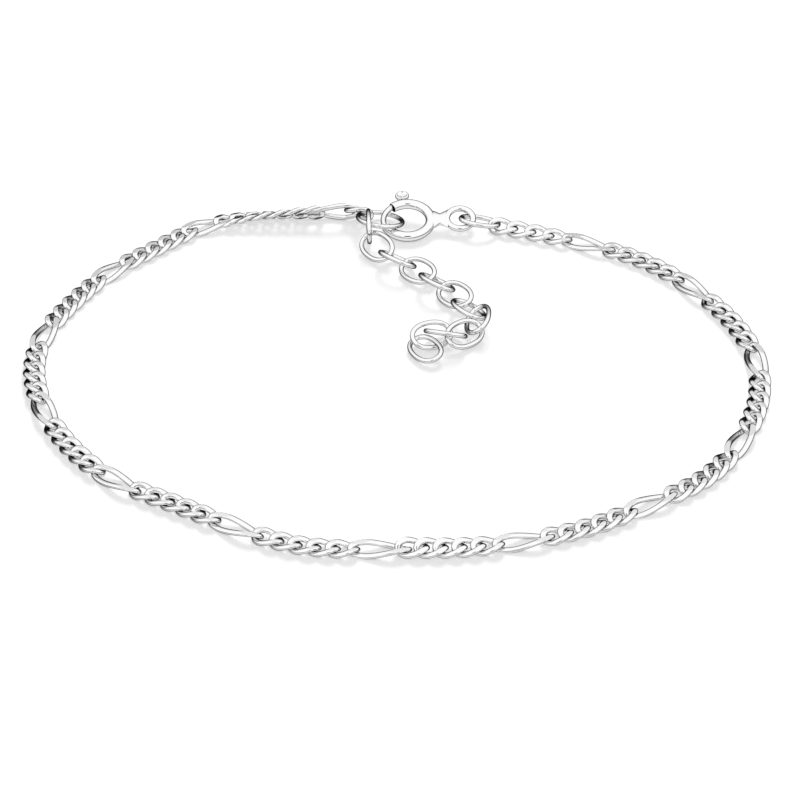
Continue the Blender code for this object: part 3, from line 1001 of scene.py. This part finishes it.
    def slot_tool(self, shift: np.ndarray) -> bpy.types.Object:
        """Makes the tool that cuts the slot for the knob's stem."""
        half = self.stem / 2 + self.slot_play
        play = math.degrees(half / self.middle)
        first, last = self.knob_angle - self.bolt_travel - play, self.knob_angle + play
        a = np.radians(np.linspace(first, last, self.slot_steps))
        out = np.stack([np.cos(a), np.sin(a), 0 * a], axis=1)
        up = np.array([0.0, 0.0, 1.0])
        low, high = self.middle, self.middle + self.slot_height * self.tube
        corners = [out * r + up * z for r, z in ((low, -half), (high, -half), (high, half), (low, half))]
        grid = np.stack(corners, axis=1)
        start, end = (row.mean(axis=1, keepdims=True).repeat(len(corners), axis=1)
                      for row in (grid[:1], grid[-1:]))
        return grid_object("slot_tool", CRISP_FILED,
                           self.place(np.concatenate([start, grid, end]), shift), wrap_rows=False)

    def cut(self, piece: bpy.types.Object, tool: bpy.types.Object) -> None:
        """Cuts a tool out of a piece and removes the tool.

        Args:
            piece: the piece that is cut.
            tool: the closed shape taken out of it.
        """
        modifier = piece.modifiers.new("cut", "BOOLEAN")
        modifier.operation, modifier.solver, modifier.object = "DIFFERENCE", "EXACT", tool
        graph = bpy.context.evaluated_depsgraph_get()
        cut_mesh = bpy.data.meshes.new_from_object(piece.evaluated_get(graph))
        piece.modifiers.clear()
        piece.data = cut_mesh
        cut_mesh.name = piece.name
        cut_mesh.set_sharp_from_angle(angle=math.radians(CRISP_CUT))
        bpy.data.objects.remove(tool, do_unlink=True)

    def bar(self) -> np.ndarray:
        """Makes the bolt's bar: bent wire with rounded ends."""
        start, end = self.bolt_tail, self.mouth_end + self.bolt_reach
        round_off = np.linspace(0.0, np.pi / 2, self.end_steps)
        reach = math.degrees(0.5 * self.bolt_wire / self.middle)
        run = np.linspace(start + reach, end - reach, self.bar_steps)
        tail = start + reach - reach * np.cos(round_off)[:-1]
        nose = end - reach + reach * np.sin(round_off)[1:]
        r = self.bolt_wire / 2
        radii = np.concatenate([r * np.sin(round_off)[:-1], np.full(self.bar_steps, r),
                                r * np.cos(round_off)[1:]])
        return self.bent_tube(np.concatenate([tail, run, nose]), np.maximum(radii, POLE_RADIUS),
                              self.wire_sides, self.bolt_lean)

    def bolt(self) -> list[np.ndarray]:
        """Makes the bolt's bar, its stem and the thumb knob.

        The stem is a short round post, and the knob is a turned oval disc
        whose profile has a raised rim round a plain dished face.

        Returns:
            The three grids in the clasp's plane.
        """
        a = math.radians(self.knob_angle)
        out = np.array([math.cos(a), math.sin(a), 0.0])
        around = np.array([-math.sin(a), math.cos(a), 0.0])
        up = np.array([0.0, 0.0, 1.0])
        inner = self.outer / 2 + self.knob_clearance
        turn = 2 * np.pi * np.arange(self.stem_sides)[None, :, None] / self.stem_sides
        top = inner + self.stem_reach * self.knob_width
        stations = np.array([self.middle, self.middle, top, top])[:, None, None]
        radius = np.array([POLE_RADIUS, self.stem / 2, self.stem / 2, POLE_RADIUS])[:, None, None]
        post = stations * out + radius * (np.cos(turn) * around + np.sin(turn) * up)

        u = 2 * np.pi * np.arange(self.knob_sides)[None, :, None] / self.knob_sides
        reach, height = np.array(self.knob_profile).T[:, :, None, None]
        centre = out * (inner + self.knob_width / 2)
        knob = (centre + np.maximum(reach, POLE_SHARE) * (np.cos(u) * around * self.knob_length / 2
                                                    + np.sin(u) * out * self.knob_width / 2)
                + height * up * self.knob_thickness / 2)
        return [self.bar(), post, knob]

    def build(self, bench: Bench) -> None:
        """Builds the ring with its eye, and the bolt with its knob."""
        piece = grid_object("clasp_ring_and_eye", CRISP_TUBE, self.place(self.hollow_ring(), bench.shift))
        self.cut(piece, self.slot_tool(bench.shift))
        self.join(piece, grid_object("clasp_eye", CRISP_ROUND, self.place(self.eye(), bench.shift)))
        neck = grid_object("clasp_neck", CRISP_ROUND, self.place(self.neck(), bench.shift), wrap_rows=False)
        self.cut(neck, self.bore_tool(bench.shift))
        self.join(piece, neck)
        bench.finish(piece, CAST, "bracelet", "clasp_ring")
        moving = SurfaceMesh()
        for grid in self.bolt():
            moving.add(self.place(grid, bench.shift), wrap_rows=False)
        bench.finish(moving.build("clasp_bolt_and_knob", CRISP_ROUND), DRAWN, "bolt", "clasp_bolt")

    def join(self, piece: bpy.types.Object, extra: bpy.types.Object) -> None:
        """Moves one object's mesh into another's.

        Args:
            piece: the object that is kept.
            extra: the object whose mesh moves into it, which is removed.
        """
        work = bmesh.new()
        work.from_mesh(piece.data)
        work.from_mesh(extra.data)
        work.to_mesh(piece.data)
        work.free()
        bpy.data.objects.remove(extra, do_unlink=True)


@dataclass
class Studio:
    """Camera, table and light.

    Lengths are metres, but the sensor and the aim are in millimetres, and
    angles are degrees. The two mirrored ramps say how bright the card and
    the tent look in the silver, by the card's slant and by the height above
    the horizon; the card's ramp is a painted reflection. The tent's opening
    darkens from lens_rim to lens_core.
    """

    focal_pixels: float = 3200.0
    image_pixels: float = 800.0
    sensor: float = 36.0
    clip: tuple[float, float] = (0.01, 20.0)
    distance: float = 275.2 * MM
    elevation: float = 37.0
    aim: tuple[float, float, float] = (0.0, 0.0, 0.5)
    table_size: float = 3.0
    table_white: float = 0.93
    table_roughness: float = 0.9
    table_glow: float = 0.42
    table_painted_reflection: Ramp = Ramp(0.66, 0.96, 0.82, 0.10)
    fill: float = 0.43
    tent_mirrored: Ramp = Ramp(0.04, 0.24, 0.04, 1.30, eased=True)
    lens_rim: float = 13.0
    lens_core: float = 9.0
    lens_dark: float = 0.01
    key: float = 1.9
    key_size: float = 0.22
    key_place: tuple[float, float, float] = (0.06, 0.50, 0.34)

    def camera_direction(self) -> np.ndarray:
        """Returns the direction from the bracelet to the camera."""
        e = math.radians(self.elevation)
        return np.array([0.0, -math.cos(e), math.sin(e)])

    def place_camera(self, shift: np.ndarray) -> None:
        """Makes the camera, level and aimed at the middle of the loop."""
        data = bpy.data.cameras.new("camera")
        data.sensor_width = self.sensor
        data.lens = self.focal_pixels * self.sensor / self.image_pixels
        data.clip_start, data.clip_end = self.clip
        camera = add_object("camera", data)
        camera.location = np.array(self.aim) * MM + shift + self.distance * self.camera_direction()
        camera.rotation_euler = (math.radians(90.0 - self.elevation), 0.0, 0.0)
        bpy.context.scene.camera = camera

    def card(self) -> bpy.types.Material:
        """Makes the table's matt white card.

        Mirrored in the silver it shows a painted reflection, an emission that
        fades to grey where it is seen flat, which draws the wires' lower edges.
        """
        material = bpy.data.materials.new("white_card")
        material.use_nodes = True
        tree = material.node_tree
        shader = tree.nodes["Principled BSDF"]
        shader.inputs["Base Color"].default_value = (*[self.table_white] * 3, 1.0)
        shader.inputs["Roughness"].default_value = self.table_roughness
        shader.inputs["Specular IOR Level"].default_value = 0.0
        shader.inputs["Emission Color"].default_value = (1.0, 1.0, 1.0, 1.0)
        shader.inputs["Emission Strength"].default_value = self.table_glow
        # Painted reflection: only glossy rays see this emission, which greys as the card is seen flatter.
        slant = add_node(tree, "ShaderNodeLayerWeight", {"Blend": 0.5})
        mirrored = add_node(tree, "ShaderNodeEmission")
        tree.links.new(self.table_painted_reflection.apply(tree, slant.outputs["Facing"]), mirrored.inputs["Strength"])
        mixed = mirrored_apart(tree, shader.outputs["BSDF"], mirrored.outputs["Emission"])
        tree.links.new(mixed, tree.nodes["Material Output"].inputs["Surface"])
        return material

    def lay_table(self) -> None:
        """Lays the white table top under the bracelet."""
        half = self.table_size / 2
        mesh = bpy.data.meshes.new("table_top")
        corners = [(-half, -half, 0), (half, -half, 0), (half, half, 0), (-half, half, 0)]
        mesh.from_pydata(corners, [], [(0, 1, 2, 3)])
        table = add_object("table_top", mesh)
        mesh.materials.append(self.card())

    def light_tent(self) -> None:
        """Makes the white tent round the table.

        It lights everything evenly. Mirrored in the silver it is bright, but
        darkens just above the horizon and where the lens looks in.
        """
        world = bpy.data.worlds.new("light_tent")
        bpy.context.scene.world = world
        world.use_nodes = True
        tree = world.node_tree
        plain = tree.nodes["Background"]
        plain.inputs["Color"].default_value = (1.0, 1.0, 1.0, 1.0)
        plain.inputs["Strength"].default_value = self.fill
        direction = add_node(tree, "ShaderNodeTexCoord").outputs["Generated"]
        dot = add_node(tree, "ShaderNodeVectorMath", {1: self.camera_direction()}, operation="DOT_PRODUCT")
        tree.links.new(direction, dot.inputs[0])
        rim, core = (math.cos(math.radians(angle)) for angle in (self.lens_rim, self.lens_core))
        opening = Ramp(rim, core, 1.0, self.lens_dark, eased=True).apply(tree, dot.outputs["Value"])
        split = add_node(tree, "ShaderNodeSeparateXYZ")
        tree.links.new(direction, split.inputs["Vector"])
        both = add_node(tree, "ShaderNodeMath", operation="MULTIPLY")
        tree.links.new(opening, both.inputs[0])
        tree.links.new(self.tent_mirrored.apply(tree, split.outputs["Z"]), both.inputs[1])
        tent = add_node(tree, "ShaderNodeBackground")
        tree.links.new(both.outputs["Value"], tent.inputs["Strength"])
        mixed = mirrored_apart(tree, plain.outputs["Background"], tent.outputs["Background"])
        tree.links.new(mixed, tree.nodes["World Output"].inputs["Surface"])

    def add_key(self) -> None:
        """Adds the soft lamp behind and above, which casts the pale shadows."""
        data = bpy.data.lights.new("key", "AREA")
        data.shape = "DISK"
        data.size = self.key_size
        data.energy = self.key
        lamp = add_object("key", data)
        lamp.location = self.key_place
        lamp.rotation_euler = (-math.atan2(self.key_place[1], self.key_place[2]), 0.0, 0.0)
        lamp.visible_glossy = False

    def build(self, shift: np.ndarray) -> None:
        """Sets the stage."""
        self.place_camera(shift)
        self.lay_table()
        self.light_tent()
        self.add_key()
        bpy.context.scene.view_settings.view_transform = "Standard"
        LOG.info("camera, table and light tent set")


def model_shift() -> np.ndarray:
    """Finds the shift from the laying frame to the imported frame.

    The last extension link is a symmetric loop, so the middle of its packed
    box is its centre.

    Returns:
        The shift in metres.
    """
    low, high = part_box("extension_link_12")
    return (np.array(low) + np.array(high)) / 2 - EXTENSION_LINKS[-1].centre()


def main() -> None:
    """Builds every piece in order."""
    logging.basicConfig(level=logging.INFO, format="%(name)s: %(message)s")
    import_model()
    bench = Bench(model_shift())
    Studio().build(bench.shift)
    FigaroChain().build(bench)
    OvalWireLinks().build(bench)
    RoundJumpRing().build(bench)
    SpringRingClasp().build(bench)


if __name__ == "__main__":
    main()
